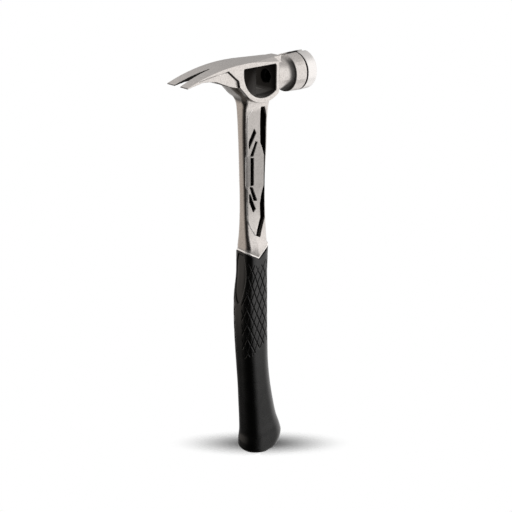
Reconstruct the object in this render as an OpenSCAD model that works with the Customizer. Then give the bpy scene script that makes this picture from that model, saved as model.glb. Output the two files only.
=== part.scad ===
// Framing hammer: a one-piece cast head and handle, a bolted steel striking cap and a moulded grip.
// The origin is on the butt, under the handle's line. +X points to the striking face,
// -X to the claw, and +Z up the handle. All sizes are in millimetres.

/* [Striking end] */
// Height of the striking axis above the butt
axis_h = 433; // [425:1:440]
// Diameter of the striking cap
cap_d = 38; // [36:0.5:40]
// Length of the cap in front of its shoulder
cap_len = 13.5; // [12:0.5:16]
// Height of the crown on the striking face
face_crown = 0.6; // [0.2:0.1:1]
// Distance from the handle's line to the front of the bell
joint_x = 55; // [52:0.5:60]
// Width of the open joint between bell and cap
joint_gap = 1; // [0.6:0.1:1.6]
// Length of the bell, the drum behind the cap
bell_len = 14.5; // [12:0.5:16]
// Diameter of the bell at its rear rim
bell_rear_d = 36; // [34:0.5:36]
// Diameter of the neck behind the bell
neck_d = 29; // [27:0.5:31]
// Diameter of the cap's spigot
spigot_d = 24; // [22:0.5:25]
// Depth of the socket in the bell
socket_depth = 12; // [9:0.5:12]
// Chamfer on the rims at the joint
rim_chamfer = 0.6; // [0.3:0.1:1]

/* [Cap bolt] */
// Thread diameter of the bolt
bolt_d = 8; // [7:0.5:8]
// Diameter of the bolt's head
bolt_head_d = 13; // [12:0.5:13.5]
// Height of the bolt's head
bolt_head_h = 8; // [6:0.5:8]
// Length of the bolt under its head
bolt_len = 29; // [28:0.5:32]
// Size of the hex key across its flats
key_size = 6; // [5:0.5:6]
// Depth of the hex socket
key_depth = 4.5; // [3:0.5:5]
// Depth of the counterbore in the window's front wall
counterbore_depth = 13; // [11:0.5:14]
// Thickness of the lock washer
washer_t = 2; // [1.5:0.1:2.4]
// Diameter of the locating pin
pin_d = 4; // [3:0.5:4]
// Length of the locating pin
pin_len = 13; // [12:0.5:14]
// Depth of the locating pin's hole in the bell
pin_seat = 8; // [7:0.5:9]
// Distance from the striking axis to the locating pin
pin_offset = 15.3; // [15:0.1:15.6]

/* [Head] */
// Width of the cheeks across the head
cheek_w = 30; // [28:0.5:32]
// Distance from the handle's line to the front of the cheeks
cheek_front = 21; // [20:0.5:23]
// Radius of the window
window_r = 25.5; // [24.5:0.5:26]
// Width of the rim round the window
rim_w = 4.7; // [4.2:0.1:5.5]
// Wall between the window and the front of the cheeks
front_wall = 4; // [3.5:0.1:5]
// Thickness of the head over the window
top_wall = 4.8; // [4:0.1:6]
// Thickness of the web across the middle of the window
web_t = 3; // [2:0.5:4]
// Gap between the web and the window's front wall
key_gap = 13.5; // [12:0.5:15]
// Depth of the panel behind the window's slanted step
step_depth = 2.6; // [1.5:0.1:3]

/* [Claw] */
// Reach of the claw behind the handle's line
claw_reach = 89; // [85:1:95]
// Radius of the claw's top curve
claw_r = 198; // [185:1:215]
// Thickness of the claw at its tips
tip_t = 1; // [0.8:0.1:1.5]
// Height of the rail along the claw's top edge
rail_h = 3; // [2.5:0.1:4]
// Length of the nail slot
slot_len = 37.6; // [32:0.2:42]
// Width of the nail slot at its mouth
slot_w = 8; // [7:0.2:9]

/* [Nail start] */
// Width of the groove for the nail's shank
groove_w = 5; // [4.8:0.1:6]
// Depth of the groove below the top of the head
groove_depth = 3.2; // [2.6:0.1:3.6]
// Distance from the handle's line to the stop for the nail's head
stop_x = 31; // [29:0.5:32]
// Width of the stop
stop_w = 14; // [12:0.5:16]
// Diameter of the magnet
magnet_d = 4.5; // [4:0.1:4.6]
// Height of the magnet
magnet_h = 4; // [3:0.5:4.5]
// Distance from the stop to the magnet's middle
magnet_x = 8; // [7.5:0.1:8.5]

/* [Shaft] */
// Thickness of the shaft at its middle
shaft_t = 11.4; // [11:0.2:13]
// Distance from the handle's line to the back of the shaft at its middle
shaft_back = 15.1; // [14.5:0.1:16]
// Distance from the handle's line to the front of the shaft at its middle
shaft_front = 12.6; // [12.3:0.1:13.5]
// Height of the raised panel over the side of the shaft
panel_rise = 0.5; // [0.3:0.1:0.8]
// Distance from the striking axis down to the middle of the plaque
plaque_drop = 89.5; // [87:0.5:92]
// Length of the plaque's straight sides
plaque_l = 28; // [24:0.5:30]
// Depth of the side groove, measured from the plaque
side_groove = 4.2; // [3:0.1:4.6]
// Depth of the slots round the plaque
slot_depth = 2.6; // [1.5:0.1:3.5]
// Width of the shaft's shoulder at the grip
shoulder_t = 20.8; // [20:0.2:22]
// Width of the tang inside the grip
tang_t = 12; // [10:0.5:14]
// Depth of the tang inside the grip
tang_depth = 19; // [16:0.5:20]
// Height of the tang's foot above the butt
tang_foot = 14; // [10:1:25]

/* [Grip] */
// Height of the grip's top edge above the butt, at the back
grip_h = 258; // [252:1:262]
// Height of the grip's front corner above its back edge
front_rise = 4; // [2:0.5:5]
// Depth of the notch in the grip's top edge, below the back
notch_depth = 8.5; // [7:0.5:10]
// Width of the grip at its top
grip_t = 26; // [25:0.2:28]
// Width of the grip at the butt
butt_t = 31.5; // [29:0.5:34]
// Reach of the grip's toe in front of the handle's line
toe_reach = 37.5; // [32:0.5:40]
// Reach of the swell at the back of the grip
swell_back = 21.2; // [19.5:0.1:22.5]
// Number of diamonds that would fit round the whole grip
diamonds = 14; // [11:1:16]
// Height of one diamond
diamond_h = 17.8; // [16:0.1:20]
// Depth of the grooves between the diamonds
diamond_depth = 0.7; // [0.4:0.1:1]
// Depth of the scoop for the thumb
scoop_depth = 1.1; // [0.6:0.1:1.5]

/* [Hidden] */
$fn = 64;

// Clearances: a sliding fit, a seat between flat faces, a pressed-in piece and a moulded-on piece
slide_fit = 0.05;
seat_gap = 0.02;
press_fit = 0.02;
mould_gap = 0.05;
// Room round the bolt's head, its shank and the cap's spigot, and past the locating pin's end
head_room = 0.5;
shank_room = 0.4;
spigot_room = 0.15;
pin_room = 1;
// Extra length that carries a cut past the face that it starts from
past = 2;

// Places along the striking axis
top_z = axis_h + cap_d / 2;
window_front = cheek_front - front_wall;
bolt_seat = window_front + counterbore_depth;
bell_rear = joint_x - bell_len;
socket_floor = joint_x - socket_depth;
shoulder_x = joint_x + joint_gap;
face_x = shoulder_x + cap_len;
head_x = bolt_seat - washer_t - bolt_head_h;
bolt_tip = bolt_seat - washer_t + bolt_len;
pin_rear = joint_x - pin_seat;
groove_floor = top_z - groove_depth;

// The window is a circle cut off flat in front and on top
window_x = window_front - 15.3;
window_top = top_z - top_wall;
window_z = window_top - 4.6;
web_end = window_front - key_gap;

// Heights along the handle. The panel is drawn for a plain stretch of shaft of panel_span
// between the grip and the head, and stretches with it.
shaft_low = grip_h + 8;
shaft_high = axis_h - 28;
panel_span = 139;
stretch = (shaft_high - shaft_low) / panel_span;
plaque_z = axis_h - plaque_drop * stretch;
function up_shaft(share) = shaft_low + (shaft_high - shaft_low) * share;
function placed(outline) = [for (p = outline) [p[0], plaque_z + p[1] * stretch]];
panel_half = shaft_t / 2 + panel_rise;
step_half = cheek_w / 2 - step_depth;

function spline(a, b, c, d, t) = 0.5 * (2 * b + (c - a) * t + (2 * a - 5 * b + 4 * c - d) * t * t
    + (3 * b - a - 3 * c + d) * t * t * t);
function bezier(a, b, c, d, t) = a * pow(1 - t, 3) + 3 * b * t * pow(1 - t, 2)
    + 3 * c * t * t * (1 - t) + d * pow(t, 3);
function arc(x, y, r, from, to, steps) = [for (i = [0:steps])
    let (a = from + (to - from) * i / steps) [x + r * cos(a), y + r * sin(a)]];
function row_at(rows, i) = rows[max(0, min(len(rows) - 1, i))];

// Rows of sizes along the handle, with smooth rows added between them
function smooth_rows(rows, steps) = concat([for (i = [0:len(rows) - 2]) for (k = [0:steps - 1])
    spline(row_at(rows, i - 1), rows[i], rows[i + 1], row_at(rows, i + 2), k / steps)],
    [rows[len(rows) - 1]]);

// One level cut through the handle: a rectangle with rounded corners and a keel on each side,
// which lies on the keel's line or just in front of the back corner.
// A row holds height, back, front, half width, back radius, front radius and keel.
keel_x = -3;
keel_room = 0.3;
corner_steps = 7;
function section(row, grow) = let (back = -row[1] - grow, front = row[2] + grow,
    half = row[3] + grow, rb = row[4] + grow, rf = row[5] + grow,
    keel = max(keel_x, back + rb + keel_room)) concat(
    arc(back + rb, rb - half, rb, 180, 270, corner_steps),
    [[keel, -half - row[6]]],
    arc(front - rf, rf - half, rf, 270, 360, corner_steps),
    arc(front - rf, half - rf, rf, 0, 90, corner_steps),
    [[keel, half + row[6]]],
    arc(back + rb, half - rb, rb, 90, 180, corner_steps));

function level_rings(rows, grow = 0) = [for (row = rows) [for (p = section(row, grow)) [p[0], p[1], row[0]]]];

// The faces of a skin over rings of n points each, and of its first and last ends
function sides(first, n, rings) = [for (i = [0:rings - 2]) for (j = [0:n - 1])
    let (k = (j + 1) % n, low = first + i * n, up = low + n)
    each [[low + j, up + j, up + k], [low + j, up + k, low + k]]];
fan_from = 5;
function first_end(first, n) = [for (j = [1:n - 2])
    [first + fan_from, first + (fan_from + j) % n, first + (fan_from + j + 1) % n]];
function last_end(first, n) = [for (j = [1:n - 2]) [first, first + j + 1, first + j]];

// A solid skinned over rings that all have the same number of points
module loft(rings) {
    n = len(rings[0]);
    polyhedron(points = [for (ring = rings) each ring],
        faces = concat(sides(0, n, len(rings)), first_end(0, n), last_end((len(rings) - 1) * n, n)));
}

// A side outline, drawn in X and Z, given a thickness across the hammer
module across(thickness) {
    rotate([90, 0, 0]) linear_extrude(thickness, center = true) children();
}

// The same on both sides, between two distances from the middle plane
module both_sides(inner, outer) {
    for (side = [-1, 1])
        translate([0, side * (inner + outer) / 2, 0]) across(outer - inner) children();
}

// A round hole or bar along the striking axis
module along_axis(from, to, d) {
    translate([from, 0, axis_h]) rotate([0, 90, 0]) cylinder(h = to - from, d = d);
}

// A turned profile of distances and radii, on the striking axis
module turned(profile) {
    translate([0, 0, axis_h]) rotate([0, 90, 0])
        rotate_extrude() polygon([for (p = profile) [p[1], p[0]]]);
}

// The tang inside the grip, up to the ledge of the shoulder that the grip's top edge closes round
tang_middle = -2;
tang_r = 2.5;
shoulder_low = grip_h - 17;
function tang_row(z) = [z, tang_depth / 2 - tang_middle, tang_depth / 2 + tang_middle, tang_t / 2,
    tang_r, tang_r, 0];
function shoulder_row(z) = [z, shaft_back + 0.3, shaft_front + 0.9, shoulder_t / 2, 6, 5, 1.4];
tang_rows = [tang_row(tang_foot), tang_row(shoulder_low), shoulder_row(shoulder_low)];

// The shaft, from its shoulder to the inside of the head
shaft_rows = let (s = shaft_t / 2, b = shaft_back, f = shaft_front, w = shoulder_t / 2) [
    shoulder_row(grip_h + front_rise + 1),
    [shaft_low, b - 0.1, f - 0.5, w - 0.8, 5, 3, 1.2],
    [up_shaft(0.1), b - 0.3, f, s + 1.6, 4, 2.5, 0.7],
    [up_shaft(0.27), b - 0.4, f - 0.1, s + 0.3, 4, 2.5, 0],
    [up_shaft(0.5), b, f, s, 4, 2.5, 0],
    [up_shaft(0.73), b + 0.7, f + 1.9, s + 0.1, 4, 2.5, 0],
    [up_shaft(0.9), b + 1.3, f + 2.1, s + 0.4, 4, 2.5, 0],
    [shaft_high, b + 1.5, f + 2.9, s + 1.2, 4, 2.5, 0],
    [axis_h - 21, b + 1.9, f + 3.7, s + 2.4, 4.5, 3, 0],
    [axis_h - 15, b + 4.5, f + 5, s + 4, 5, 3.5, 0],
    [axis_h - 9, b + 10.9, f + 6.3, s + 4.6, 5.5, 3.5, 0],
    [axis_h - 2, b + 18.4, f + 6.3, s + 3.4, 5.5, 3.5, 0],
    [axis_h + 3, b + 25.4, f + 6.3, s + 3.2, 5.5, 3.5, 0]];
shaft_steps = 4;

// The claw: its top is an arc that leaves the flat of the head behind the handle
arc_start = -20;
claw_steps = 24;
rail_taper = 0.14;
function claw_top(x) = top_z - (x > arc_start ? 0 : claw_r - sqrt(claw_r * claw_r - pow(x - arc_start, 2)));
function rail_at(x) = min(rail_h, tip_t + (x + claw_reach) * rail_taper);
claw_xs = [for (i = [0:claw_steps]) -claw_reach + (claw_reach + arc_start) * i / claw_steps];
tip_z = claw_top(-claw_reach) - tip_t;
under_a = [-claw_reach, tip_z];
under_b = [-claw_reach + 11, tip_z + 2.8];
under_c = [-70, axis_h + 9.2];
under_d = [-55, axis_h + 6.6];
under_e = [-39.5, axis_h];
under_f = [-28, axis_h - 3];
under_steps = 12;

module claw_side() {
    polygon(concat([for (x = claw_xs) [x, claw_top(x)]],
        [[arc_start, axis_h], under_f, under_e],
        [for (i = [under_steps:-1:1]) bezier(under_a, under_b, under_c, under_d, i / under_steps)],
        [under_a]));
}

module rail_side() {
    polygon(concat([for (x = claw_xs) [x, claw_top(x)]],
        [for (i = [claw_steps:-1:0]) [claw_xs[i], claw_top(claw_xs[i]) - rail_at(claw_xs[i])]]));
}

// The cheeks: a rim round the window, and a plate that ends behind in a slanted step
step_top = [-42, top_z - 4.6];
step_knee = [-30, axis_h + 4];
step_foot = [-29, axis_h - 2];
rim_steps = 16;
rim_from = 219;
rim_to = 360 - acos((cheek_front - window_x) / (window_r + rim_w));

module cheek_side() {
    polygon(concat([step_top, step_knee, step_foot],
        arc(window_x, window_z, window_r + rim_w, rim_from, rim_to, rim_steps),
        [[cheek_front, top_z], [arc_start, top_z], [step_top[0], claw_top(step_top[0])]]));
}

// The window: an arc below, flat on top and in front, with the corners rounded
corner_r = 2;
window_steps = 24;
window_left = 180 - asin((window_top - window_z) / window_r);

module window_side() {
    polygon(concat(
        arc(window_x, window_z, window_r, window_left, 360 - acos((window_front - window_x) / window_r),
            window_steps),
        arc(window_front - corner_r, window_top - corner_r, corner_r, 0, 90, 4)));
}

module window_cut() {
    both_sides(web_t / 2, cheek_w / 2 + past) window_side();
    across(cheek_w + 2 * past) intersection() {
        window_side();
        translate([web_end, window_z - window_r]) square([key_gap + past, 2 * window_r]);
    }
}

// The neck flares from the cheeks to the bell's rear rim in one hollow curve
neck_steps = 8;
neck_flat = 5;
module poll_solid() {
    neck_x = cheek_front + neck_flat;
    rise = (bell_rear_d - neck_d) / 2;
    turned(concat([[web_end + key_gap / 2, 0], [web_end + key_gap / 2, neck_d / 2]],
        [for (i = [0:neck_steps]) let (t = i / neck_steps)
            [neck_x + (bell_rear - neck_x) * sin(90 * t), neck_d / 2 + rise * (1 - cos(90 * t))]],
        [[bell_rear + rim_chamfer, bell_rear_d / 2 + rim_chamfer / 2],
            [joint_x - rim_chamfer, cap_d / 2], [joint_x, cap_d / 2 - rim_chamfer], [joint_x, 0]]));
}

// The stop for the nail's head stands on the neck, and the top narrows towards it
stop_root = 9;
module stop_block() {
    translate([cheek_front - past, -stop_w / 2, top_z - stop_root])
        cube([stop_x - cheek_front + past, stop_w, stop_root]);
}

module top_slope() {
    inner = stop_w / 2 + 0.5;
    start = arc_start + 5;
    fall = 3.4;
    edge = cheek_w / 2;
    for (side = [-1, 1]) {
        corners = [[start, side * edge, top_z], [cheek_front, side * inner, top_z],
            [cheek_front, side * edge, top_z - fall]];
        across_v = corners[1] - corners[0];
        down_v = corners[2] - corners[0];
        normal = side * cross(across_v, down_v);
        unit = normal / norm(normal);
        turn = atan2(unit[1], unit[0]);
        tilt = acos(unit[2]);
        translate(corners[0]) rotate([0, tilt, turn])
            translate([-cheek_w, -2 * cheek_w, 0]) cube([2 * cheek_w, 4 * cheek_w, cheek_w]);
    }
}

// The nail groove runs from the stop to the striking face, with room for the head at the stop
head_seat_w = 10;
head_seat_l = 4;
module nail_groove() {
    translate([stop_x, -groove_w / 2, groove_floor])
        cube([face_x - stop_x + past, groove_w, groove_depth + past]);
    translate([stop_x, -head_seat_w / 2, groove_floor])
        cube([head_seat_l, head_seat_w, groove_depth + past]);
}

// The sides of the shaft: a raised panel with a plaque, a deep groove in front and slots behind.
// Heights are measured from the middle of the plaque.
half_l = plaque_l / 2;
panel_front = [[4.2, 63], [3.9, 56], [4.3, half_l + 14], [7.2, half_l + 7.6], [9.6, half_l],
    [9.5, -half_l - 4], [7, -half_l - 9.6], [4, -half_l - 21.5], [4, -51], [-3.8, -68.5]];
panel_back = [[-9.3, -59], [-12.6, -50], [-12.6, -32.5], [-11.8, -25.5], [-11.6, -half_l - 7],
    [-13.8, -half_l + 1], [-13.8, half_l + 0.8], [-12, half_l + 7.5], [-12.4, half_l + 12], [-12.4, 55.5],
    [-6.8, 62]];
groove_front = [[2, -72], [10.6, -53], [10.9, -27], [11.2, 12], [11.9, 19], [12.3, 53], [9.4, 62.5]];
panel_root = 3.5;
slots = [
    [[-3.7, half_l + 29], [-1.2, half_l + 24], [-10.4, half_l + 9], [-10.8, half_l + 17]],
    [[-2, half_l + 16], [0.7, half_l + 15], [-5.2, half_l + 0.8], [-8.9, half_l + 2]],
    [[-8.2, half_l + 0.8], [-4.2, half_l - 1], [-4.4, -half_l - 1], [-8.4, -half_l - 1]],
    [[-9.8, -half_l - 1], [-5.8, -half_l - 3], [0.3, -half_l - 18.4], [-4.4, -half_l - 17.2]],
    [[-10.3, -half_l - 8], [-8.5, -half_l - 10], [-1.9, -half_l - 26.6], [-5.3, -half_l - 29.6],
        [-10.5, -half_l - 17]]];

module panel_outline() {
    polygon(placed(concat(panel_front, panel_back)));
}

// The panel stands proud of the shaft all over and follows its rounded back
module raised_panel() {
    intersection() {
        loft(level_rings(smooth_rows(shaft_rows, shaft_steps), panel_rise));
        both_sides(panel_root, cheek_w) panel_outline();
    }
}

module side_groove_outline() {
    polygon(placed(concat(panel_front, groove_front)));
}

module slot_outlines() {
    for (slot = slots)
        polygon(placed(slot));
}

module claw_slot() {
    apex_w = 0.8;
    tail = -claw_reach + slot_len;
    widen = (slot_w - apex_w) / slot_len * past;
    translate([0, 0, axis_h - past]) linear_extrude(top_z - axis_h + 2 * past)
        polygon([[-claw_reach - past, -slot_w / 2 - widen / 2], [tail, -apex_w / 2], [tail, apex_w / 2],
            [-claw_reach - past, slot_w / 2 + widen / 2]]);
}

module pin_bar(from, d) {
    translate([from, 0, axis_h - pin_offset]) rotate([0, 90, 0])
        cylinder(h = pin_rear + pin_len - from, d = d);
}

module titanium_body() {
    color("#b9b4ae") difference() {
        union() {
            loft(level_rings(concat(tang_rows, smooth_rows(shaft_rows, shaft_steps))));
            across(2 * step_half) claw_side();
            across(cheek_w) rail_side();
            difference() {
                across(cheek_w) cheek_side();
                top_slope();
            }
            poll_solid();
            stop_block();
            raised_panel();
        }
        window_cut();
        claw_slot();
        nail_groove();
        both_sides(panel_half - side_groove, cheek_w) side_groove_outline();
        both_sides(panel_half - slot_depth, cheek_w) slot_outlines();
        along_axis(window_front - past, bolt_seat, bolt_head_d + 2 * head_room);
        along_axis(bolt_seat - past, joint_x, bolt_d + 2 * shank_room);
        along_axis(socket_floor, joint_x + past, spigot_d + 2 * spigot_room);
        pin_bar(pin_rear - press_fit, pin_d + 2 * press_fit);
        translate([stop_x + magnet_x, 0, groove_floor - magnet_h - press_fit])
            cylinder(h = magnet_h + past, d = magnet_d + 2 * press_fit);
    }
}

// The cap: a crowned face with a flat middle, a spigot with the bolt's thread and a hole for the pin
flat_d = 20;
crown_steps = 5;
face_round = 1.2;
thread_end = 4;
module strike_cap() {
    edge_r = cap_d / 2;
    flat_r = flat_d / 2;
    color("#dcd9d4") difference() {
        turned(concat([[socket_floor + seat_gap, 0], [socket_floor + seat_gap, spigot_d / 2 - rim_chamfer],
            [socket_floor + seat_gap + rim_chamfer, spigot_d / 2], [shoulder_x, spigot_d / 2],
            [shoulder_x, edge_r - rim_chamfer], [shoulder_x + rim_chamfer, edge_r]],
            arc(face_x - face_crown - face_round, edge_r - face_round, face_round, 90, 20, 4),
            [for (i = [crown_steps - 1:-1:0])
                let (r = flat_r + (edge_r - face_round - flat_r) * i / crown_steps)
                [face_x - face_crown * pow((r - flat_r) / (edge_r - flat_r), 2), r]],
            [[face_x, 0]]));
        along_axis(socket_floor - past, bolt_tip + thread_end, bolt_d + 2 * slide_fit);
        translate([pin_room, 0, 0]) pin_bar(shoulder_x - past - pin_room, pin_d + 2 * slide_fit);
        nail_groove();
    }
}

// The bolt: a cylinder head with a hex socket, and a plain shank in place of its thread
module cap_bolt() {
    head_r = bolt_head_d / 2;
    tip_chamfer = 1;
    color("#2b2b2d") difference() {
        turned([[head_x, 0], [head_x, head_r - rim_chamfer], [head_x + rim_chamfer, head_r],
            [head_x + bolt_head_h - seat_gap, head_r], [head_x + bolt_head_h - seat_gap, bolt_d / 2],
            [bolt_tip - tip_chamfer, bolt_d / 2], [bolt_tip, bolt_d / 2 - tip_chamfer], [bolt_tip, 0]]);
        translate([head_x - past, 0, axis_h]) rotate([0, 90, 0])
            cylinder(h = key_depth + past, d = key_size / cos(30), $fn = 6);
    }
}

// The lock washer is split, so that it springs under the bolt's head
module lock_washer() {
    split_w = 1.2;
    color("#4a4a4c") difference() {
        along_axis(bolt_seat - washer_t, bolt_seat - seat_gap, bolt_head_d - 0.4);
        along_axis(bolt_seat - washer_t - past, bolt_seat + past, bolt_d + shank_room);
        translate([bolt_seat - washer_t - past, -split_w / 2, axis_h])
            cube([washer_t + 2 * past, split_w, bolt_head_d]);
    }
}

module locating_pin() {
    color("#8f8d8a") pin_bar(pin_rear, pin_d);
}

module nail_magnet() {
    color("#3a3a3c") translate([stop_x + magnet_x, 0, groove_floor - magnet_h])
        cylinder(h = magnet_h, d = magnet_d);
}

// The grip: a swell under the thumb, a slim waist and a toe that sweeps forward at the butt
grip_rows = let (g = grip_t / 2, b = butt_t / 2, s = swell_back, t = toe_reach) [
    [0, 6, t - 8.5, b - 0.5, b - 1, b - 1, 0],
    [1.5, 9.5, t - 5, b + 0.1, b - 0.4, b - 0.4, 0],
    [5, 15.6, t - 2.5, b + 0.3, b - 0.4, b - 0.4, 0],
    [14, 17.6, t, b, b - 1.6, b - 2, 0],
    [26, 15.7, t - 3.4, b, b - 2.2, b - 3.4, 0],
    [40, 15.7, t - 7.7, b - 1, b - 3.6, b - 3.4, 0],
    [65, 16.3, t - 13.3, g + 1.2, 11, 12, 0],
    [90, 17.1, t - 17.8, g + 0.9, 10.5, 11.5, 0],
    [118, s - 2.6, t - 21.2, g + 0.8, 10, 11, 0],
    [146, s - 1, t - 22.7, g + 0.9, 10, 10.5, 0],
    [186, s, t - 23.5, g + 1, 10, 10.5, 0],
    [207, s - 0.6, t - 23.4, g + 0.8, 10, 10.5, 0],
    [grip_h - 28, s - 3.6, t - 23.2, g + 0.2, 9.5, 10.5, 0],
    [grip_h - 10, s - 4.2, t - 22.6, g, 9, 10, 0],
    [grip_h, s - 4.4, t - 22.3, g, 9, 10, 0]];

// The grip's row at any height
function grip_row(z) = let (last = len(grip_rows) - 2,
    i = max([for (k = [0:last]) if (k == 0 || grip_rows[k][0] <= z) k]),
    low = grip_rows[i][0],
    row = spline(row_at(grip_rows, i - 1), grip_rows[i], grip_rows[i + 1], row_at(grip_rows, i + 2),
        (z - low) / (grip_rows[i + 1][0] - low)))
    [z, row[1], row[2], row[3], row[4], row[5], row[6]];

// The grip's top edge dips to a notch on both sides and rises to its front corner, and the skin
// above notch_from follows it
notch_from = grip_h - 28;
top_back = -grip_rows[len(grip_rows) - 1][1];
top_front = grip_rows[len(grip_rows) - 1][2];
function dip(x) = x > keel_x
    ? notch_depth - (notch_depth + front_rise) * min(1, (x - keel_x) / (top_front - keel_x))
    : notch_depth * max(0, (x - top_back) / (keel_x - top_back));
function lowered(z, x) = z - dip(x) * max(0, (z - notch_from) / (grip_h - notch_from));
function notched_ring(row, grow) = [for (p = section(row, grow)) [p[0], p[1], lowered(row[0], p[0])]];

// Points spaced evenly round the grip, from the middle of its back: half the way round at a row,
// the point at a distance along it, and the point of a column
per_diamond = 6;
columns = diamonds * per_diamond;
function half_round(row) = row[1] + row[2] + 2 * row[3] - (2 - PI / 2) * (row[4] + row[5]);
function skin_point(row, s) = let (back = -row[1], front = row[2], half = row[3], rb = row[4], rf = row[5],
    a = half - rb, b = a + rb * PI / 2, c = b + front - back - rf - rb, d = c + rf * PI / 2)
    s < a ? [back, -s]
    : s < b ? arc(back + rb, rb - half, rb, 180 + (s - a) / rb * 180 / PI, 0, 1)[0]
    : s < c ? [back + rb + s - b, -half]
    : s < d ? arc(front - rf, rf - half, rf, 270 + (s - c) / rf * 180 / PI, 0, 1)[0]
    : [front, s - d - half + rf];
function skin_column(row, j) = let (h = half_round(row), s = 2 * h * j / columns)
    s <= h ? skin_point(row, s) : let (p = skin_point(row, 2 * h - s)) [p[0], -p[1]];

// The scoop for the thumb: a shallow leaf down the back that runs out at the lip of the top edge
scoop_half = 8.1;
scoop_mid = grip_h - 28;
scoop_reach = 31;
scoop_lip = 3;
function scoop_edge(z) = scoop_half * sqrt(max(0, 1 - pow((z - scoop_mid) / scoop_reach, 2)));
function scoop_zone(x, z, from_back) = z < lowered(grip_h, x) - scoop_lip && from_back < scoop_edge(z);

// Where the diamonds lie: plain bands are left along the top edge, round the scoop and down the back,
// and the pattern ends below on a slant. Its grooves run along the diagonals of rows and columns.
row_h = diamond_h / per_diamond;
pattern_foot = 7 * diamond_h;
band = 8.5;
scoop_rim = 1.5;
strip_half = 4.8;
slant_z = 144;
slant = 0.56;
function on_groove(j, z) = let (across = j - columns / 2, up = round(z / row_h) + per_diamond / 2)
    (across + up) % per_diamond == 0 || (across - up) % per_diamond == 0;
function diamond_zone(x, z, from_back) = z < lowered(grip_h, x) - band && z > slant_z + slant * x
    && from_back > max(strip_half, scoop_edge(z) + scoop_rim);

function pressed(row, j, z) = let (x = skin_column(row, j)[0],
    from_back = 2 * half_round(row) * min(j, columns - j) / columns)
    scoop_zone(x, z, from_back) ? scoop_depth
    : on_groove(j, row[0]) && diamond_zone(x, z, from_back) ? diamond_depth : 0;
function skin_ring(row) = [for (j = [0:columns - 1])
    let (z = lowered(row[0], skin_column(row, j)[0]), d = pressed(row, j, z),
        p = skin_column(row - [0, d, d, d, d, d, 0], j)) [p[0], p[1], z]];

// Levels of the skin: two for each plain row below the pattern, and then the pattern's own
skin_levels = concat(
    [for (i = [0:len(grip_rows) - 2]) for (k = [0, 0.5])
        let (z = grip_rows[i][0] + (grip_rows[i + 1][0] - grip_rows[i][0]) * k)
        if (z < pattern_foot - row_h) z],
    [for (z = [pattern_foot:row_h:grip_h - row_h / 2]) z], [grip_h]);

// The seam between the skin's top ring and the inner ring, which has another number of points:
// each point turns to the next one round the handle on the other ring
function turn_of(p) = let (a = atan2(p[1], p[0] - keel_x) - 180) a < 0 ? a + 360 : a;
function seam(outer, inner, first) = let (n = len(outer), m = len(inner),
    met = [for (p = outer) len([for (q = inner) if (turn_of(q) <= turn_of(p)) 1])])
    [for (j = [0:n - 1]) let (k = (j + 1) % n, from = met[j], to = j + 1 == n ? m : met[k])
        each concat([[first + j, first + n + from % m, first + k]],
            [for (q = [from:1:to - 1]) [first + k, first + n + q % m, first + n + (q + 1) % m]])];

// The skin runs up the outside, over the top edge and down the inside to the tang's foot
module rubber_grip() {
    ledge = shoulder_low - mould_gap;
    outer = [for (z = skin_levels) skin_ring(grip_row(z))];
    inner = concat([notched_ring(shoulder_row(grip_h), mould_gap)], level_rings(
        [shoulder_row(ledge), tang_row(ledge), tang_row(tang_foot - mould_gap)], mould_gap));
    n = len(outer[0]);
    m = len(inner[0]);
    top = n * (len(outer) - 1);
    color("#1d1d1f") polyhedron(points = [for (ring = concat(outer, inner)) each ring],
        faces = concat(first_end(0, n), sides(0, n, len(outer)), seam(outer[len(outer) - 1], inner[0], top),
            sides(top + n, m, len(inner)), last_end(top + n + m * (len(inner) - 1), m)));
}

titanium_body();
strike_cap();
cap_bolt();
lock_washer();
locating_pin();
nail_magnet();
rubber_grip();
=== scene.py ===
# %% [markdown]
# A framing hammer, dressed for the camera. On the real tool the head, the claw and the handle are one
# titanium casting, a turned steel cap is bolted to the striking end, and a rubber grip is moulded round
# the handle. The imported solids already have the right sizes, so they are loaded first as a fixed frame,
# and every piece made here takes its place from them. Guessing the places again by eye would drift.

import math

import bmesh
import bpy
from mathutils import Matrix, Vector
from mathutils.bvhtree import BVHTree


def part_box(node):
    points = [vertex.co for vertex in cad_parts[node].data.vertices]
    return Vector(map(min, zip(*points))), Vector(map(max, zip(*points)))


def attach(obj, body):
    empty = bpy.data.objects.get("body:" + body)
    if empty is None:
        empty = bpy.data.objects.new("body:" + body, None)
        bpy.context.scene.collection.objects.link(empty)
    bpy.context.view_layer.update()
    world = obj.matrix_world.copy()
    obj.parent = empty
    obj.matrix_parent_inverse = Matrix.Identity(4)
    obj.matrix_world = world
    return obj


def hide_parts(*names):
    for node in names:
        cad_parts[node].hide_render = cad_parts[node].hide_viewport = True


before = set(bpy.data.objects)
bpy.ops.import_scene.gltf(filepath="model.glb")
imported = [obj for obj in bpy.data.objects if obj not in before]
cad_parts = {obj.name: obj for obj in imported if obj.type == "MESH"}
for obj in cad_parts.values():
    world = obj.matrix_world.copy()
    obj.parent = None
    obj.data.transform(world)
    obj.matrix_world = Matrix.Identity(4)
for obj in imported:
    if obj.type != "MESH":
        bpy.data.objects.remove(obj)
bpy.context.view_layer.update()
MM = 0.001
print("solids:", ", ".join(sorted(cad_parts)))

# %% [markdown]
# The camera stands where the photographer stood: a little above the head, behind the claw and to one
# side, so the claw points left and the striking cap right. It could be aimed with a Track To constraint,
# but a heading and a pitch say the same in two plain numbers and leave no roll.

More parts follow.
